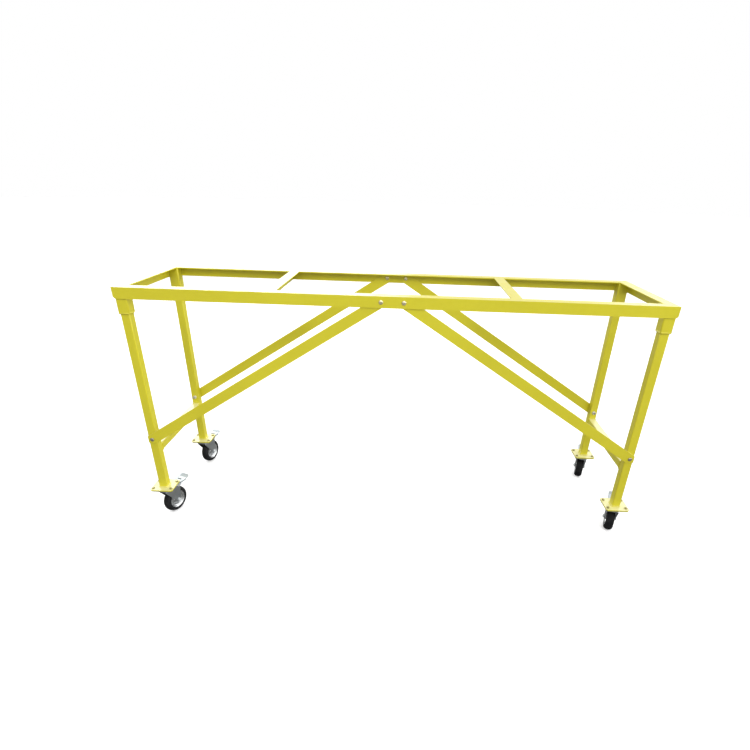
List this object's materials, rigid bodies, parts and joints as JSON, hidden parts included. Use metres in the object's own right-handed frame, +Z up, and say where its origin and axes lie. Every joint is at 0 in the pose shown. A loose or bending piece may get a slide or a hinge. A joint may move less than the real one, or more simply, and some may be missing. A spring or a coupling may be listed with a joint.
{
  "type": "rolling work platform bench",
  "caption": "Rolling work bench frame of welded angle and square tube with plug-in legs, bolted diagonal braces and braked swivel casters, open on top for a deck.",
  "frame": {"origin": "on the floor, under the middle of the whole object's bounding box; the frame's own middle is 44.5 mm in front of it, because the casters trail to the rear", "axes": "+X along the length to the right, -Y the front, +Z up"},
  "size_m": [2.4694, 0.705, 1.21],
  "materials": {
    "yellow_powder_coat": "semi-gloss yellow powder coat",
    "zinc_plate": "bright zinc-plated pressed steel",
    "rim_steel": "bright zinc-plated pressed steel disc",
    "bolt_steel": "zinc-plated fasteners",
    "bearing_steel": "hardened steel",
    "black_rubber": "matt black rubber"
  },
  "bodies": {
    "bench_frame": {"rail_front": "yellow_powder_coat", "rail_rear": "yellow_powder_coat", "rail_left": "yellow_powder_coat", "rail_right": "yellow_powder_coat", "deck_bar_left": "yellow_powder_coat", "end_tie_left": "yellow_powder_coat", "brace_front_left": "yellow_powder_coat", "brace_rear_left": "yellow_powder_coat", "deck_bar_right": "yellow_powder_coat", "end_tie_right": "yellow_powder_coat", "brace_front_right": "yellow_powder_coat", "brace_rear_right": "yellow_powder_coat", "leg_socket_front_left": "yellow_powder_coat", "leg_front_left": "yellow_powder_coat", "foot_plate_front_left": "yellow_powder_coat", "leg_socket_front_right": "yellow_powder_coat", "leg_front_right": "yellow_powder_coat", "foot_plate_front_right": "yellow_powder_coat", "leg_socket_rear_left": "yellow_powder_coat", "leg_rear_left": "yellow_powder_coat", "foot_plate_rear_left": "yellow_powder_coat", "leg_socket_rear_right": "yellow_powder_coat", "leg_rear_right": "yellow_powder_coat", "foot_plate_rear_right": "yellow_powder_coat", "caster_plate_front_left": "zinc_plate", "caster_plate_front_right": "zinc_plate", "caster_plate_rear_left": "zinc_plate", "caster_plate_rear_right": "zinc_plate", "brace_bolts": "bolt_steel", "brace_nuts": "bolt_steel", "caster_bolts": "bolt_steel", "caster_nuts": "bolt_steel", "kingpins": "bearing_steel", "swivel_balls": "bearing_steel"},
    "swivel_front_left": {"fork_front_left": "zinc_plate", "axle_front_left": "bolt_steel", "brake_pin_front_left": "bolt_steel"},
    "wheel_front_left": {"tyre_front_left": "black_rubber", "rim_front_left": "rim_steel"},
    "pedal_front_left": {"brake_pedal_front_left": "zinc_plate"},
    "swivel_front_right": {"fork_front_right": "zinc_plate", "axle_front_right": "bolt_steel", "brake_pin_front_right": "bolt_steel"},
    "wheel_front_right": {"tyre_front_right": "black_rubber", "rim_front_right": "rim_steel"},
    "pedal_front_right": {"brake_pedal_front_right": "zinc_plate"},
    "swivel_rear_left": {"fork_rear_left": "zinc_plate", "axle_rear_left": "bolt_steel", "brake_pin_rear_left": "bolt_steel"},
    "wheel_rear_left": {"tyre_rear_left": "black_rubber", "rim_rear_left": "rim_steel"},
    "pedal_rear_left": {"brake_pedal_rear_left": "zinc_plate"},
    "swivel_rear_right": {"fork_rear_right": "zinc_plate", "axle_rear_right": "bolt_steel", "brake_pin_rear_right": "bolt_steel"},
    "wheel_rear_right": {"tyre_rear_right": "black_rubber", "rim_rear_right": "rim_steel"},
    "pedal_rear_right": {"brake_pedal_rear_right": "zinc_plate"}
  },
  "joints": [
    {"name": "swivel_front_left", "type": "hinge", "parent": "bench_frame", "child": "swivel_front_left", "pos_m": [-1.17, -0.29951, 0.15], "axis": [0, 0, 1], "continuous": true},
    {"name": "wheel_front_left", "type": "hinge", "parent": "swivel_front_left", "child": "wheel_front_left", "pos_m": [-1.15495, -0.25816, 0.068], "axis": [-0.9397, 0.342, 0], "continuous": true},
    {"name": "brake_front_left", "type": "hinge", "parent": "swivel_front_left", "child": "pedal_front_left", "pos_m": [-1.15016, -0.24501, 0.147], "axis": [-0.9397, 0.342, 0], "range_deg": [0, 15]},
    {"name": "swivel_front_right", "type": "hinge", "parent": "bench_frame", "child": "swivel_front_right", "pos_m": [1.17, -0.29951, 0.15], "axis": [0, 0, 1], "continuous": true},
    {"name": "wheel_front_right", "type": "hinge", "parent": "swivel_front_right", "child": "wheel_front_right", "pos_m": [1.18577, -0.25843, 0.068], "axis": [-0.9336, 0.3584, 0], "continuous": true},
    {"name": "brake_front_right", "type": "hinge", "parent": "swivel_front_right", "child": "pedal_front_right", "pos_m": [1.19079, -0.24536, 0.147], "axis": [-0.9336, 0.3584, 0], "range_deg": [0, 15]},
    {"name": "swivel_rear_left", "type": "hinge", "parent": "bench_frame", "child": "swivel_rear_left", "pos_m": [-1.17, 0.21049, 0.15], "axis": [0, 0, 1], "continuous": true},
    {"name": "wheel_rear_left", "type": "hinge", "parent": "swivel_rear_left", "child": "wheel_rear_left", "pos_m": [-1.1601, 0.25336, 0.068], "axis": [-0.9744, 0.225, 0], "continuous": true},
    {"name": "brake_rear_left", "type": "hinge", "parent": "swivel_rear_left", "child": "pedal_rear_left", "pos_m": [-1.15695, 0.26701, 0.147], "axis": [-0.9744, 0.225, 0], "range_deg": [0, 15]},
    {"name": "swivel_rear_right", "type": "hinge", "parent": "bench_frame", "child": "swivel_rear_right", "pos_m": [1.17, 0.21049, 0.15], "axis": [0, 0, 1], "continuous": true},
    {"name": "wheel_rear_right", "type": "hinge", "parent": "swivel_rear_right", "child": "wheel_rear_right", "pos_m": [1.18433, 0.25209, 0.068], "axis": [-0.9455, 0.3256, 0], "continuous": true},
    {"name": "brake_rear_right", "type": "hinge", "parent": "swivel_rear_right", "child": "pedal_rear_right", "pos_m": [1.18888, 0.26533, 0.147], "axis": [-0.9455, 0.3256, 0], "range_deg": [0, 15]}
  ]
}
